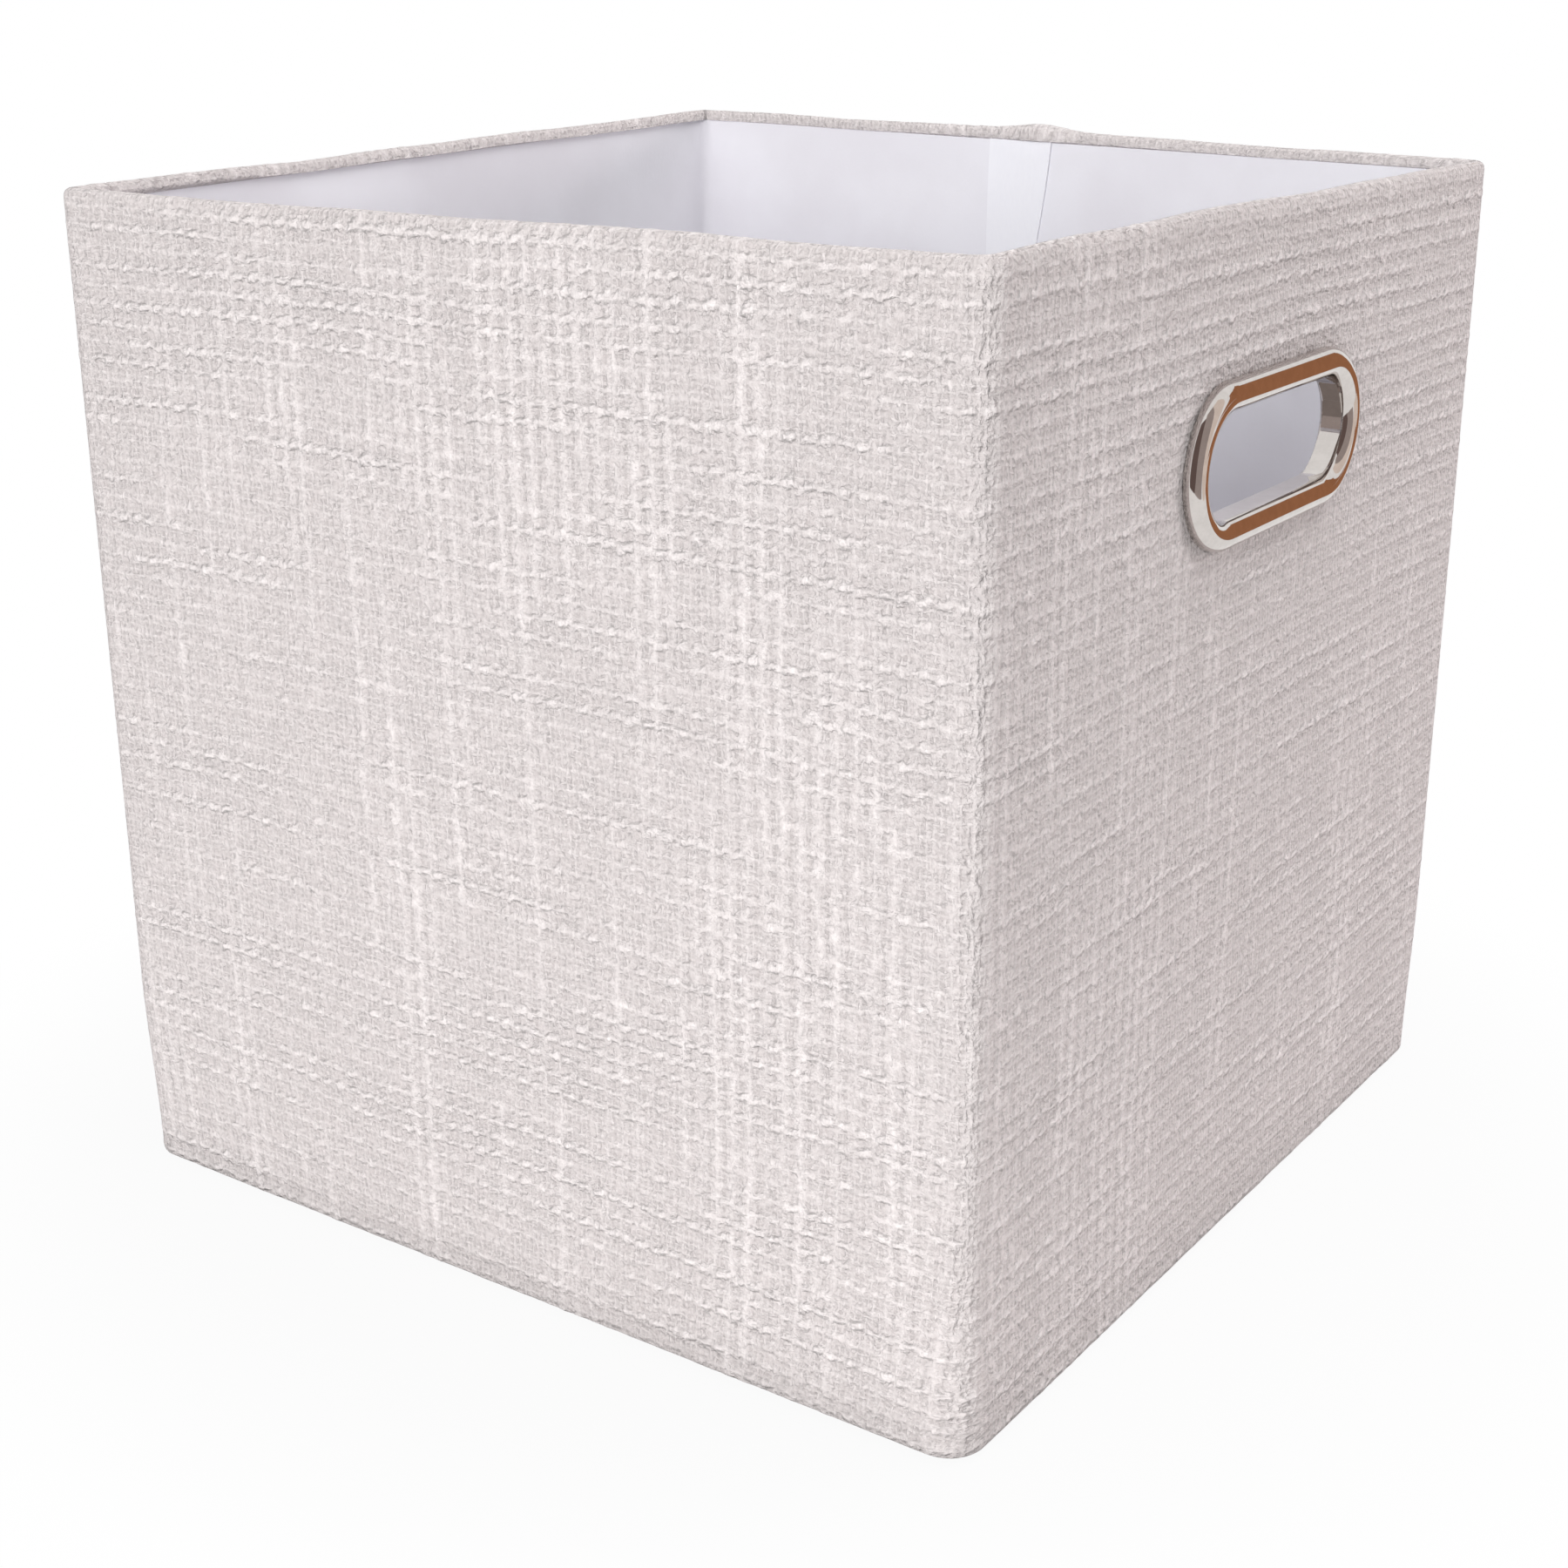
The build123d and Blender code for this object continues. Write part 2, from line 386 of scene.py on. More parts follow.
def slub_cloth():
    """Fine greige yarn, three threads to a step, with a thick cream slub at each step both ways."""
    f = Finish("slub_cloth")
    across, up = f.map("Weave")
    weft, warp = f.stored("weft_slub"), f.stored("warp_slub")
    spot = f.vector(across, up)
    sway, threads = 0.45, 3.0
    sway_a, sway_b, hue = f.parts(f.noise(spot, 0.9, 3.0, 0.65, "2D", "Color"))
    a, b = across + sway * (sway_a - 0.5), up + sway * (sway_b - 0.5)
    fleece, fray_a, fray_b = f.parts(f.noise(spot, 4.2, 2.0, 0.65, "2D", "Color"))
    grain = f.noise(spot, 2.4, 1.0, 0.5, "2D")

    # Fine threads, over and under each other, with small gaps between them, no two alike
    fine_a, fine_b = a * threads, b * threads
    each = f.chance(fine_a.whole(), fine_b.whole())
    between = f.chance(fine_a.floor(), fine_b.floor())
    thread_a = (0.5 + 0.5 * (fine_a * (2 * math.pi)).cosine() + 2.0 * (fray_a - 0.5)).between(0.1, 1.0)
    thread_b = (0.5 + 0.5 * (fine_b * (2 * math.pi)).cosine() + 2.0 * (fray_b - 0.5)).between(0.1, 1.0)
    over = 0.5 + 0.5 * (fine_a * math.pi).cosine() * (fine_b * math.pi).cosine()
    thread = (thread_a * (0.45 + 0.55 * over)).most(thread_b * (1.0 - 0.55 * over)) * (0.45 + 0.75 * each)
    gap = (1 - thread_a) * (1 - thread_b) * (0.25 + between)

    # Thick weft slubs, seen as dashes that climb a little between the thick warp yarns, with painted shade
    # below each dash
    off_warp = (a - a.whole()).absolute()
    side = b - 0.18 * (a.fraction() - 0.5)
    dash_share = 0.55 + 0.9 * f.chance(a.floor(), side.whole())
    side = side - side.whole()
    off_weft = side.absolute()
    lump = f.noise(f.vector(across * 0.6, up * 1.2 - across * 0.12), 1.6, 2.0, 0.6, "2D")
    ridge = 1 - off_weft.between(0.06, 0.36 + 0.6 * (lump - 0.5) + 0.3 * (fleece - 0.5))
    ridge = ridge * weft * (0.2 + 1.6 * lump)
    ends = off_warp.between(0.03, 0.3)
    dash = ridge * (0.25 + 0.75 * ends) * dash_share
    # Painted shade: a band just below each weft dash, where the dash shades the cloth beneath it
    under = side.between(-0.46, -0.32) * (1 - side.between(-0.3, -0.16)) * weft * (0.3 + 0.7 * ends)

    # Thick warp slubs, softer and more even
    knot = f.noise(f.vector(across * 1.2, up * 0.5), 1.6, 2.0, 0.6, "2D")
    stripe = 1 - off_warp.between(0.02, 0.46 + 0.6 * (knot - 0.5) + 0.35 * (fleece - 0.5))
    stripe = stripe * warp * (0.2 + 1.5 * knot) * (0.7 + 0.6 * f.chance(a.whole(), b.floor()))
    slub = (0.95 * dash + 0.68 * stripe).least(1.0)

    height = 0.3 * thread * (1 - 0.5 * slub) + 0.6 * dash + 0.35 * ridge
    height = height + 0.3 * stripe + 0.25 * fleece + 0.9 * grain
    grey = f.blend(hue.between(0.35, 0.65), tone(202, 195, 194), tone(208, 200, 199))
    ground = f.blend((thread * 0.68).least(1.0), grey, tone(232, 225, 224))
    ground = f.blend((gap * 0.45).least(1.0), ground, tone(184, 177, 176))
    cream = f.blend(fleece.between(0.25, 0.75), tone(236, 229, 228), tone(242, 235, 234))
    colour = f.blend((slub * 0.98).least(1.0), ground, cream)
    # Painted shade: the cloth just below each dash is darkened, standing in for the dash's shadow
    colour = f.blend((under * 0.15).least(0.6), colour, tone(190, 182, 180))
    colour = f.blend(grain.between(0.3, 0.75) * 0.3, colour, tone(202, 194, 193))
    lift = f.bump(height, 0.0017, 0.9)
    return f.surface(
        Base_Color=colour, Roughness=0.93, Specular_IOR_Level=0.15, Normal=lift, Sheen_Weight=0.1
    )


def white_lining():
    """Thin white non-woven: felted fibre with a faint cloudiness."""
    f = Finish("white_lining")
    place = f.place()
    cloud = f.noise(place, 20.0, 3.0, 0.55)
    fibre = f.noise(f.scaled(place, 1.0, 1.0, 0.5), 900.0, 3.0, 0.7)
    colour = f.blend(cloud.between(0.3, 0.7), tone(231, 229, 234), tone(237, 236, 241))
    lift = f.bump(fibre * 0.6 + cloud * 0.4, 0.0004, 0.35)
    rough = 0.72 + 0.16 * fibre
    return f.surface(Base_Color=colour, Roughness=rough, Specular_IOR_Level=0.25, Normal=lift)


def white_tape():
    """A brighter and smoother white, with its fibre drawn out lengthways."""
    f = Finish("white_tape")
    fibre = f.noise(f.scaled(f.place(), 1.0, 1.0, 0.25), 1100.0, 2.0, 0.6)
    colour = f.blend(fibre, tone(241, 241, 246), tone(246, 246, 250))
    lift = f.bump(fibre, 0.0003, 0.3)
    rough = 0.6 + 0.15 * fibre
    return f.surface(Base_Color=colour, Roughness=rough, Specular_IOR_Level=0.3, Normal=lift)


def bottom_felt():
    """Pressed non-woven with the small dots that bond it."""
    f = Finish("bottom_felt")
    dot_step = 0.0014
    x, y = f.parts(f.place(), 2)
    dots = (x * (math.pi / dot_step)).cosine() * (y * (math.pi / dot_step)).cosine()
    dot = dots.absolute().between(0.55, 0.9)
    fibre = f.noise(f.place(), 700.0, 3.0, 0.7)
    colour = f.blend(fibre, tone(178, 172, 168), tone(206, 201, 197))
    colour = f.blend(dot * 0.5, colour, tone(168, 162, 158))
    lift = f.bump(fibre * 0.5 + 1.0 - dot, 0.0003, 0.6)
    return f.surface(Base_Color=colour, Roughness=0.9, Specular_IOR_Level=0.2, Normal=lift)


def grey_board():
    """Pulp board with darker flecks."""
    f = Finish("grey_board")
    place = f.place()
    fibre = f.noise(f.scaled(place, 1.0, 1.0, 0.3), 420.0, 4.0, 0.7)
    fleck = f.noise(place, 160.0, 2.0, 0.5).between(0.62, 0.72)
    colour = f.blend(fibre, tone(176, 164, 146), tone(206, 195, 178))
    colour = f.blend(fleck * 0.4, colour, tone(140, 126, 108))
    lift = f.bump(fibre, 0.0002, 0.4)
    return f.surface(Base_Color=colour, Roughness=0.86, Specular_IOR_Level=0.3, Normal=lift)


def bright_plate():
    """Polished nickel plate, with a little haze and faint waves of the pressing."""
    f = Finish("bright_plate")
    place = f.place()
    haze = f.noise(place, 260.0, 3.0, 0.6)
    wave = f.noise(place, 70.0, 1.0, 0.5)
    colour = f.blend(haze.between(0.35, 0.7), tone(205, 199, 195), tone(212, 206, 202))
    lift = f.bump(wave, 0.0003, 0.07)
    return f.surface(Base_Color=colour, Metallic=1.0, Roughness=0.04 + 0.04 * haze, Normal=lift)


def rim_profile():
    """The cover's shown side from its edge under the base, up the wall, over the rim and down to the hem:
    distances along it, its rows as (inset, height) with the outward direction, and the rows at the foot and
    the top of the wall."""
    low = BASE + BASE_ROUND
    inner = RIM_WIDTH - RIM_ROUND
    rows = [(inset, BASE, 0.0, -1.0) for inset in np.linspace(BASE_TURN, BASE_ROUND, 4)]
    for t in np.linspace(0, math.pi / 2, 7)[1:]:
        out, down = math.sin(t), math.cos(t)
        rows.append((BASE_ROUND - BASE_ROUND * out, low - BASE_ROUND * down, -out, -down))
    foot_row = len(rows) - 1
    rows += [(0.0, z, -1.0, 0.0) for z in np.linspace(low, RIM_LEVEL, 80)[1:]]
    top_row = len(rows) - 1
    for t in np.linspace(0, math.pi / 2, 6)[1:]:
        out, rise = math.cos(t), math.sin(t)
        rows.append((RIM_ROUND - RIM_ROUND * out, RIM_LEVEL + RIM_ROUND * rise, -out, rise))
    for t in np.linspace(0, math.pi / 2, 6):
        out, rise = math.sin(t), math.cos(t)
        rows.append((inner + RIM_ROUND * out, RIM_LEVEL + RIM_ROUND * rise, out, rise))
    rows += [(RIM_WIDTH, z, 1.0, 0.0) for z in np.linspace(RIM_LEVEL, HEM_EDGE, 4)[1:]]
    line = np.array(rows)
    steps = np.hypot(np.diff(line[:, 0]), np.diff(line[:, 1]))
    return np.concatenate([[0], np.cumsum(steps)]), line, foot_row, top_row


def corner_at(along, z):
    """The cover's corner radius. The near corner, between the front and right walls, is the roundest."""
    near = ease(560, 700, along) * (1 - ease(870, 1010, along))
    return CORNER_TIGHT + CORNER_NEAR * near + CORNER_FOOT * (1 - ease(0, 70, z))


def racked(x, y, z):
    """The rise of the rim at the near and far corners, and its fall at the other two."""
    return -RIM_RISE * x * y / (SIDE / 2) ** 2 * (z / HEIGHT) ** 2


def cover_grid(passed, foot_row, top_row):
    """Distances up the profile and round the bin, on the slub yarns and where the cloth bends."""
    count = int(passed[-1] // WEFT_STEP) + 1
    weft_lines = np.arange(count) * WEFT_STEP + WEFT_START
    slub_rows = (weft_lines[:, None] + np.array([-SLUB_HALF, 0, SLUB_HALF])).reshape(-1)
    slub_rows = slub_rows[(slub_rows > 0.5) & (slub_rows < passed[-1] - 0.5)]
    shape_rows = np.concatenate([passed[: foot_row + 1], passed[top_row:]])
    up = thinned(np.concatenate([shape_rows, slub_rows]), 0.55, shape_rows)
    half_steps = np.arange(2 * WARP_COUNT) * WARP_STEP / 2
    edges = np.array([0.0, 0.4, ROUND - 0.7, ROUND - 1e-3])
    ramp = ROUND - LAP_WIDTH + np.linspace(-6, 4, 5)
    along = thinned(np.concatenate([half_steps, stations(SIDE_LENGTH, 9), edges, ramp]), 0.6, edges)
    return up, along


def yarn_runs():
    """How strongly each thick yarn shows along its length: a row to a weft yarn, a column to a warp yarn."""
    weft_shape = 64, int(ROUND / RUN_STEP)
    patch = soft_noise(weft_shape, (5.0, 22.0))
    weft_run = soft_noise(weft_shape, (0.15, 12.0)) + 0.35 * patch
    warp_shape = 190, WARP_COUNT
    patch = soft_noise(warp_shape, (22.0, 5.0))
    warp_run = soft_noise(warp_shape, (18.0, 0.4)) + 0.5 * patch
    return 0.3 + 0.62 * ease(-1.1, 1.9, weft_run), 0.18 + 0.8 * ease(-0.7, 1.9, warp_run)


def strayed(grid_up, grid_along, foot, top):
    """The grid where the loom and the glue let the yarns stray, though not at the bends and the edges."""
    free = ease(foot, foot + 25, grid_up) * (1 - ease(top - 25, top, grid_up))
    at_edge = ease(0, 30, grid_along) * (1 - ease(ROUND - 30, ROUND, grid_along))
    tall, wide = 90, 330
    stray_up = soft_noise((tall, wide), (9.0, 14.0)) * 0.8 + soft_noise((tall, wide), (3.0, 4.0)) * 0.25
    stray_along = soft_noise((tall, wide), (14.0, 9.0)) * 0.6 + soft_noise((tall, wide), (4.0, 3.0)) * 0.2
    spots = grid_up / 4, grid_along / ROUND * wide
    return grid_up + free * sampled(stray_up, *spots), grid_along + at_edge * sampled(stray_along, *spots)


def cover_back(along):
    """The cover's hidden side, from the hem over the rim and down to the edge under the base."""
    path = [(RIM_WIDTH - COVER, HEM_EDGE), (RIM_WIDTH - COVER, RIM_LEVEL)]
    path += [(RIM_WIDTH - COVER - 0.6, HEIGHT - COVER - 0.2), (COVER + 0.6, HEIGHT - COVER - 0.2)]
    path += [(COVER, level) for level in np.linspace(RIM_LEVEL, BASE + BASE_ROUND, 8)]
    path += [(COVER + 1.0, FLOOR + 1.0), (BASE_ROUND, FLOOR), (BASE_TURN, FLOOR)]
    rows = []
    for inset, level in path:
        x, y, _, _ = round_the_bin(along, inset, corner_at(along, level))
        rows.append(np.stack([x, y, level + racked(x, y, level)], -1))
    return np.array(rows)


def make_cover():
    """One strip of cloth round the bin, lapped in the back wall. Its points lie on the slub yarns."""
    passed, line, foot_row, top_row = rim_profile()
    foot, top = passed[foot_row], passed[top_row]
    up, along = cover_grid(passed, foot_row, top_row)
    grid_up, grid_along = np.meshgrid(up, along, indexing="ij")
    weft_run, warp_run = yarn_runs()
    weft_line = np.round((grid_up - WEFT_START) / WEFT_STEP)
    weft = sampled(weft_run, weft_line, grid_along / RUN_STEP)
    warp = sampled(warp_run, grid_up / RUN_STEP, grid_along / WARP_STEP)
    placed_up, placed_along = strayed(grid_up, grid_along, foot, top)
    inset, z, out_inset, out_z = (np.interp(placed_up, passed, line[:, k]) for k in range(4))
    x, y, nx, ny = round_the_bin(placed_along, inset, corner_at(grid_along, z))

    # The yarns' ridges, with small lumps
    on_line = np.abs(grid_up - WEFT_START - weft_line * WEFT_STEP) < 0.05
    between = np.abs(np.mod(grid_along / WARP_STEP, 1) - 0.5)
    dash = 1 - 0.8 * ease(0.1, 0.5, between)
    relief = WEFT_RISE * weft * np.where(on_line, 1.0, 0.12) * dash
    relief += WARP_RISE * warp * ease(0.1, 0.5, between)
    lump_shape = 180, 640
    spots = grid_up / RUN_STEP, grid_along / ROUND * lump_shape[1]
    relief *= 1 + 0.22 * sampled(soft_noise(lump_shape, (0.8, 1.2)), *spots)
    relief += 0.04 * sampled(soft_noise(lump_shape, (1.0, 1.0)), *spots)
    # The cloth is drawn tight over the corners
    calm = ease(0, 10, off_corner(placed_along))
    relief *= 0.35 + 0.65 * calm
    # The ring's foot presses the cloth flat
    pressed = ease(0.3, 5.0, np.where(np.abs(x) > SIDE / 2 - 3, off_ring(y, z), 9.0))
    relief = relief * pressed - 0.25 * (1 - pressed)
    # The lap lies on the cloth below it, and swells where it goes over the rim
    lap_start, swell_middle = ROUND - LAP_WIDTH, ROUND - LAP_WIDTH / 2 - 8
    lap = ease(lap_start - 7, lap_start + 4, grid_along) * ease(foot - 3, foot + 3, grid_up)
    lap = lap * (1 - 0.85 * ease(top - 14, top, grid_up))
    swell = ease(top - 25, top + 2, grid_up) * np.exp(-(((grid_along - swell_middle) / 12) ** 2))
    relief += lap + 2.0 * swell
    # The rim wavers a little, as turned cloth does
    waves = 200
    waver = sampled(soft_noise((8, waves), (2.0, 3.0)), np.zeros_like(z), grid_along / ROUND * waves)
    z = z + 0.35 * waver * ease(top - 30, top, grid_up) + racked(x, y, z)

    shown = np.stack([x - out_inset * nx * relief, y - out_inset * ny * relief, z + out_z * relief], -1)
    hidden = cover_back(along)
    cover = shell("cover", np.concatenate([shown, hidden]))
    past_hem = np.linspace(passed[-1] + 1, passed[-1] + 60, len(hidden))
    all_up = np.vstack([grid_up, np.repeat(past_hem[:, None], len(along), 1)])
    all_along = np.vstack([grid_along, np.repeat(along[None, :], len(hidden), 0)])
    grid_map(cover, "Weave", all_along / WARP_STEP, (all_up - WEFT_START) / WEFT_STEP, ROUND / WARP_STEP)
    blank = np.zeros((len(hidden), len(along)))
    store(cover, "weft_slub", np.vstack([weft * pressed * (0.7 + 0.3 * calm), blank]))
    store(cover, "warp_slub", np.vstack([warp * pressed * (0.7 + 0.3 * calm), blank]))
    return cover


def slot_cutter():
    """A long prism of a hand hole's outline, through both handle walls."""
    bend = np.linspace(-math.pi / 2, math.pi / 2, 25)
    half, radius = (HOLE_LENGTH - HOLE_HEIGHT) / 2, HOLE_HEIGHT / 2
    y = np.concatenate([half + radius * np.cos(bend), -half - radius * np.cos(bend)])
    z = np.concatenate([radius * np.sin(bend), -radius * np.sin(bend)]) + HANDLE_HEIGHT
    ends = [np.stack([np.full_like(y, x), y, z], -1) for x in (-200.0, 200.0)]
    return shell("slot", np.array(ends), ring=False, poles=True)


def with_hand_holes(piece):
    """A piece with the hand holes cut through both handle walls."""
    cutter = slot_cutter()
    cut = piece.modifiers.new("hand_holes", "BOOLEAN")
    cut.operation, cut.solver, cut.object = "DIFFERENCE", "EXACT", cutter
    bpy.context.view_layer.update()
    ready = piece.evaluated_get(bpy.context.evaluated_depsgraph_get())
    mesh = bpy.data.meshes.new_from_object(ready)
    piece.modifiers.clear()
    piece.data = mesh
    bpy.data.objects.remove(cutter)
    return piece


def make_lining():
    """The white walls, a little slack between the hem and the floor, and drawn tight into the corners."""
    along = stations(5.0, 5)
    low, high = INSERT_FLOOR, HEM_EDGE + 1.5
    levels = np.concatenate([[low], np.linspace(6, HEM_EDGE - 3, 62), [HEM_EDGE, high]])
    grid_z, grid_along = np.meshgrid(levels, along, indexing="ij")
    x, y, nx, ny = round_the_bin(grid_along, WALL, CORNER)
    on_back = y > INNER_FACE - 3
    tall, wide = 66, 262
    slack = soft_noise((tall, wide), (7.0, 4.0)) + 0.6 * soft_noise((tall, wide), (2.5, 6.0))
    slack = np.clip(0.7 + 0.7 * sampled(slack, grid_z / 5, grid_along / ROUND * wide), 0, 2.0)
    # A long shallow crease across the back wall, on the left of the tape
    across_back = np.where(on_back, ease(30, 46, -x) * (1 - ease(110, 150, -x)), 0)
    slack += 1.3 * across_back * ease(270, 288, grid_z) * (1 - ease(296, 320, grid_z))
    # Flat at the corners, the floor, the hem, the washers and the tape
    slack = slack * ease(2, 30, off_corner(grid_along)) * ease(low, 20, grid_z)
    slack = slack * (1 - ease(HEM_EDGE - 14, HEM_EDGE - 1, grid_z))
    slack = slack * ease(0.5, 14.0, np.where(np.abs(x) > INNER_FACE - 2, off_ring(y, grid_z), 20.0))
    under_tape = np.where(on_back, 1 - ease(13, 24, np.abs(x - JOINT)), 0)
    slack = slack * (1 - under_tape)
    shown = np.stack([x - nx * slack, y - ny * slack, grid_z + racked(x, y, grid_z)], -1)
    x, y, _, _ = round_the_bin(along, WALL - LINING, CORNER)
    hidden = [np.stack([x, y, level + racked(x, y, level)], -1) for level in (high, 220.0, 110.0, low)]
    lining = shell("lining", np.concatenate([shown, np.array(hidden)]))
    lining.data.flip_normals()
    return lining


def make_tape():
    """The tape over the lining's joint: glued down on its left, its right edge standing off a little."""
    half = TAPE_WIDTH / 2
    across = np.linspace(-half, half, 19)
    levels = np.linspace(INSERT_FLOOR + 0.1, HEM_EDGE + 1.0, 66)
    grid_z, grid_x = np.meshgrid(levels, across, indexing="ij")
    bend = 0.9 * np.sin(grid_z / 47.0) + 0.5 * np.sin(grid_z / 19.0 + 1.0)
    edge = 6.5 * np.exp(-(((grid_z - 272) / 36) ** 2)) * np.maximum(grid_x / half, 0) ** 1.5
    x = JOINT + grid_x + bend * (np.abs(grid_x) / half) - edge
    lift = 0.5 + 0.35 * ease(7, half, grid_x) - 0.15 * ease(7, half, -grid_x)
    lift = lift + 0.12 * np.sin(grid_z / 23.0) * ease(4, 12, np.abs(grid_x))
    shown = np.stack([x, INNER_FACE - lift, grid_z], -1)
    hidden = np.stack([x, np.full_like(x, INNER_FACE - 0.05), grid_z], -1)[:, ::-1]
    tape = shell("joint_tape", np.concatenate([shown, hidden], axis=1), ring=False, poles=True)
    tape.data.flip_normals()
    return tape


def slab(name, profile, half, corner, relief=None):
    """A closed cloth piece on a rounded square: rows at (inset, height) from one middle to the other."""
    turn = np.linspace(0, math.pi / 2, 6)
    rows = []
    for inset, level in profile:
        radius = max(corner - inset, 0.4)
        straight = max(half - inset - radius, 0.01)
        run = np.linspace(-1, 1, 41)[1:-1] * straight
        sides = []
        for quarter in range(4):
            facing = quarter * math.pi / 2
            out = np.concatenate([np.full_like(run, straight + radius), straight + radius * np.cos(turn)])
            side = np.concatenate([run, straight + radius * np.sin(turn)])
            x = out * math.cos(facing) - side * math.sin(facing)
            y = out * math.sin(facing) + side * math.cos(facing)
            sides.append(np.stack([x, y, np.full_like(x, level)], -1))
        rows.append(np.concatenate(sides))
    points = np.array(rows)
    if relief is not None:
        points[..., 2] += relief(points, np.array(profile))
    return shell(name, points, ring=False, poles=True)


def make_lining_floor():
    """The floor of the lining, laid over the cover's turned edges, with shallow hollows."""
    field = soft_noise((64, 64), (5.0, 5.0))
    low, top = FLOOR, INSERT_FLOOR
    profile = [(inset, low) for inset in np.linspace(MIDDLE, 4, 6)] + [(0.0, low + 0.05), (0.0, top - 0.05)]
    profile += [(inset, top) for inset in np.linspace(1.0, MIDDLE, 24)]

    def hollows(points, rows):
        wave = np.minimum(sampled(field, points[..., 0] / 6, points[..., 1] / 6), 0)
        return 0.1 * wave * ((rows[:, 1] > top - 0.01) * ease(2, 30, rows[:, 0]))[:, None]

    return slab("floor_cloth", profile, SIDE / 2 - FLOOR_INSET, CORNER - FLOOR_INSET, hollows)


def make_insert_cloth():
    """White cloth wrapped over the base board and turned in under it, with slight wrinkles on top."""
    low, thick, turn = INSERT_FLOOR, LINING, INSERT_TURN
    top = low + INSERT_THICKNESS
    profile = [(inset, top - thick) for inset in np.linspace(MIDDLE, 8, 6)]
    profile += [(thick, top - thick), (thick, low + thick), (turn, low + thick)]
    profile += [(turn, low), (1.2, low), (0.35, low + 0.35), (0.0, low + 1.2)]
    profile += [(0.0, top - 1.2), (0.35, top - 0.35), (1.2, top)]
    first_on_top = len(profile)
    profile += [(inset, top) for inset in np.linspace(3, MIDDLE, 34)]
    field = soft_noise((64, 64), (4.0, 4.0))

    def wrinkles(points, rows):
        wave = sampled(field, points[..., 0] / 6, points[..., 1] / 6)
        on_top = np.arange(len(rows)) >= first_on_top
        return 0.12 * wave * (on_top * ease(3, 25, rows[:, 0]))[:, None]

    return slab("insert_cloth", profile, INSERT_HALF, INSERT_CORNER, wrinkles)


def make_bottom():
    """The flat cloth under the base."""
    profile = [(inset, 0.0) for inset in np.linspace(MIDDLE, 2, 24)] + [(0.5, 0.15), (0.1, 0.5), (0.4, 0.9)]
    profile += [(inset, BASE) for inset in np.linspace(1.5, MIDDLE, 6)]
    return slab("base_cloth", profile, SIDE / 2 - FLOOR_INSET, CORNER - FLOOR_INSET)


def dress(piece, finish, crease, body, node):
    """Gives a piece its finish and its place in the part. Edges bent by more than the crease stay sharp."""
    piece.data.materials.append(finish)
    piece.data.set_sharp_from_angle(angle=math.radians(crease))
    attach(piece, body)
    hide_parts(node)


cover_finish, lining_finish, tape_finish = slub_cloth(), white_lining(), white_tape()
bottom_finish, board_finish, metal_finish = bottom_felt(), grey_board(), bright_plate()

cover = with_hand_holes(make_cover())
dress(cover, cover_finish, 62, "bin", "outer_cover")
lining = with_hand_holes(make_lining())
dress(lining, lining_finish, 40, "bin", "lining_walls")
tape = make_tape()
dress(tape, tape_finish, 50, "bin", "lining_joint_strip")
floor_cloth = make_lining_floor()
dress(floor_cloth, lining_finish, 50, "bin", "lining_floor")
insert_cloth = make_insert_cloth()
dress(insert_cloth, lining_finish, 60, "base_insert", "insert_cover")
base_cloth = make_bottom()
dress(base_cloth, bottom_finish, 60, "bin", "bottom_cloth")

for name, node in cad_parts.items():
    metal, board = name.startswith("grommet"), "board" in name
    if metal or board:
        node.data.materials.clear()
        node.data.materials.append(metal_finish if metal else board_finish)

# The studio, in metres
WHITE = (1.0, 1.0, 1.0)
BLUSH = (1.0, 0.91, 0.92)
BROWN = tone(165, 113, 81)
BEIGE = tone(236, 222, 212)
GREY = tone(168, 156, 152)
# The tone of the painted shade that the rings show inside the bin
PAINTED_SHADE = tone(134, 124, 120)
DARK = tone(110, 94, 90)
PAPER = (0.5, 0.5, 0.5)
GROUND_HALF = 6.0
GROUND_LEVEL = -0.0004
CARD_LEVEL = 0.003
AMBIENT = 0.25

# The photograph's viewpoint: its place, its angles in degrees, and its lens in pixels of the frame
VIEWPOINT = (0.4527, -0.6620, 0.4091)
HEADING, FALL, LEAN = 34.96, 19.70, -0.18
FOCAL_PIXELS, FRAME_PIXELS = 2794, 1800
SENSOR_WIDTH = 36.0


def flat_card(name, corners):
    mesh = bpy.data.meshes.new(name)
    mesh.from_pydata(corners, [], [list(range(len(corners)))])
    card = bpy.data.objects.new(name, mesh)
    bpy.context.scene.collection.objects.link(card)
    return card


def glow(name, colour):
    f = Finish(name)
    return f.out(f.node("ShaderNodeEmission", sockets={"Color": (*colour, 1.0), "Strength": 1.0}))


def pale_floor():
    """White to the camera and in the metal, and lit as plain paper for the rest, shadow and all."""
    f = Finish("pale_floor")
    far = f.node("ShaderNodeVectorMath", {"operation": "LENGTH"}, {0: f.place()}, "Value").between(0.2, 0.36)
    share = f.seen_white() * (0.94 + 0.06 * far)
    paper = f.node("ShaderNodeBsdfDiffuse", sockets={"Color": (*PAPER, 1.0)})
    white = f.node("ShaderNodeEmission", sockets={"Color": (*WHITE, 1.0), "Strength": 1.0})
    return f.out(f.node("ShaderNodeMixShader", sockets={0: share, 1: paper, 2: white}))


def mirrored_card(name, colour, corners):
    """A plain card that only the bright metal shows."""
    card = flat_card(name, corners)
    card.data.materials.append(glow(name, colour))
    card.visible_camera = card.visible_diffuse = card.visible_shadow = card.visible_transmission = False


def level_corners(level, *points):
    return [(x, y, level) for x, y in points]


def lying(x0, x1, y0, y1, level=CARD_LEVEL):
    return level_corners(level, (x0, y0), (x1, y0), (x1, y1), (x0, y1))


def standing(x0, y0, x1, y1, height):
    return [(x0, y0, CARD_LEVEL), (x1, y1, CARD_LEVEL), (x1, y1, height), (x0, y0, height)]


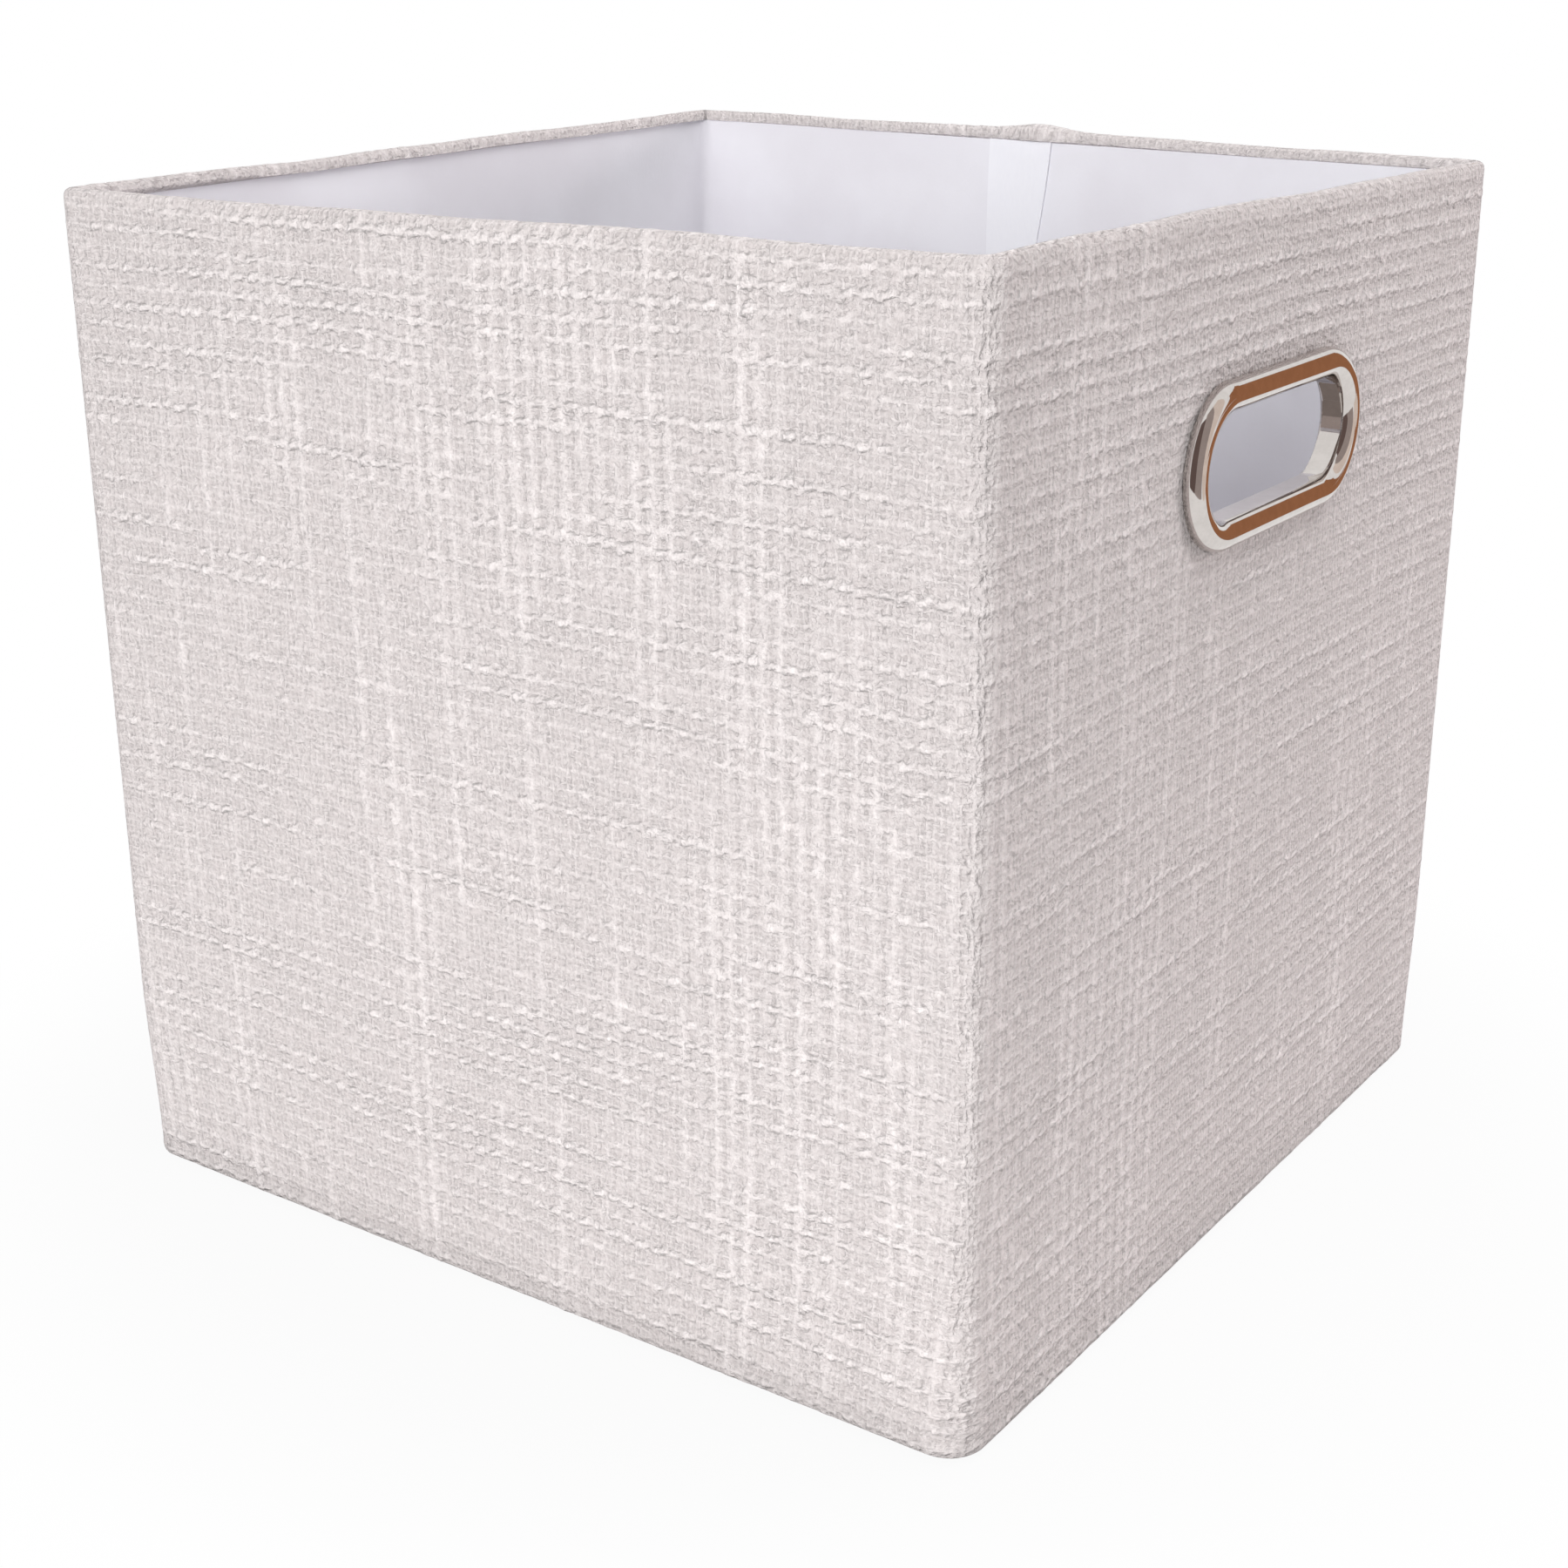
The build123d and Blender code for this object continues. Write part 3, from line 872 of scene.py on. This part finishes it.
def soft_lamp(name, place, aim, width, height, power, colour):
    data = bpy.data.lights.new(name, "AREA")
    data.shape, data.size, data.size_y = "RECTANGLE", width, height
    data.energy, data.color = power, colour
    lamp = bpy.data.objects.new(name, data)
    lamp.location = place
    lamp.rotation_euler = (Vector(aim) - Vector(place)).to_track_quat("-Z", "Y").to_euler()
    lamp.visible_glossy = False
    bpy.context.scene.collection.objects.link(lamp)
    return lamp


ground = flat_card("ground", lying(-GROUND_HALF, GROUND_HALF, -GROUND_HALF, GROUND_HALF, GROUND_LEVEL))
ground.data.materials.append(pale_floor())

# What the rings mirror: round the bin from the back to the front, and then inside it, where dark cards are
# painted shade in place of the shaded inside of the front wall and the floor
grey_outline = (0.8, 0.1), (0.55, -0.45), (1.1, -0.85), (1.6, 0.25)
dark_outline = (0.55, -0.45), (0.25, -0.8), (0.25, -1.45), (1.1, -0.85)
mirrored_card("brown_card", BROWN, standing(0.75, 2.5, 2.3, 2.5, 1.9))
mirrored_card("brown_mat", BROWN, lying(0.3, 0.8, 0.8, 2.5))
mirrored_card("brown_mat_far", BROWN, lying(0.8, 1.5, 1.2, 2.5))
mirrored_card("beige_mat", BEIGE, lying(0.8, 1.6, 0.25, 1.2))
mirrored_card("beige_card", BEIGE, standing(1.6, 0.25, 1.6, 1.2, 4.0))
mirrored_card("grey_card", GREY, standing(1.6, 0.25, 1.1, -0.85, 4.0))
mirrored_card("grey_mat", GREY, level_corners(CARD_LEVEL, *grey_outline))
mirrored_card("dark_card", DARK, standing(1.1, -0.85, 0.25, -1.45, 3.0))
mirrored_card("dark_mat", DARK, level_corners(CARD_LEVEL, *dark_outline))
# Painted shade: cards inside the bin, which only the rings show, stand in for the shaded inside of the front
# wall and the floor
mirrored_card("painted_shade_front_low", PAINTED_SHADE, standing(-0.14, -0.14, 0.14, -0.14, 0.21))
mirrored_card("painted_shade_floor", PAINTED_SHADE, lying(0.0, 0.14, -0.13, 0.13, 0.02))
mirrored_card("painted_shade_front_high", GREY, standing(-0.14, -0.15, 0.14, -0.15, 0.3))

world = bpy.data.worlds.new("studio")
bpy.context.scene.world = world
world.use_nodes = True
sky = Finish("studio", world.node_tree)
soft = sky.node("ShaderNodeBackground", sockets={"Color": (*WHITE, 1.0), "Strength": AMBIENT})
white = sky.node("ShaderNodeBackground", sockets={"Color": (*WHITE, 1.0), "Strength": 1.0})
shade = sky.node("ShaderNodeMixShader", sockets={0: sky.seen_white(), 1: soft, 2: white})
sky.node("ShaderNodeOutputWorld", sockets={"Surface": shade})

soft_lamp("front_light", (0.3, -2.6, 0.95), (0, 0, 0.15), 1.6, 1.2, 58.0, WHITE)
soft_lamp("top_light", (0.7, 0.3, 2.2), (0.1, 0, 0.15), 1.4, 1.4, 28.5, WHITE)
soft_lamp("side_light", (1.6, 2.0, 0.6), (0.1, 0, 0.15), 1.2, 0.8, 27.0, BLUSH)
# Light that comes back up from the floor close by
for lamp in (
    soft_lamp("right_bounce", (0.43, 0.25, 0.004), (0.43, 0.251, 1.0), 0.5, 0.9, 0.36, BLUSH),
    soft_lamp("front_bounce", (0.0, -0.4, 0.004), (0.0, -0.401, 1.0), 0.9, 0.45, 0.6, WHITE),
):
    lamp.visible_camera = False

turn, fall, lean = (math.radians(angle) for angle in (HEADING, FALL, LEAN))
forward = Vector((-math.sin(turn) * math.cos(fall), math.cos(turn) * math.cos(fall), -math.sin(fall)))
level_right = forward.cross(Vector((0, 0, 1))).normalized()
level_up = level_right.cross(forward)
right = level_right * math.cos(lean) + level_up * math.sin(lean)
upward = level_up * math.cos(lean) - level_right * math.sin(lean)
axes = Matrix((right, upward, -forward)).transposed()
lens = bpy.data.cameras.new("camera")
lens.sensor_width = SENSOR_WIDTH
lens.lens = SENSOR_WIDTH * FOCAL_PIXELS / FRAME_PIXELS
lens.clip_start, lens.clip_end = 0.01, 50
camera = bpy.data.objects.new("camera", lens)
camera.matrix_world = Matrix.Translation(VIEWPOINT) @ axes.to_4x4()
bpy.context.scene.collection.objects.link(camera)
bpy.context.scene.camera = camera
bpy.context.scene.view_settings.view_transform = "Standard"
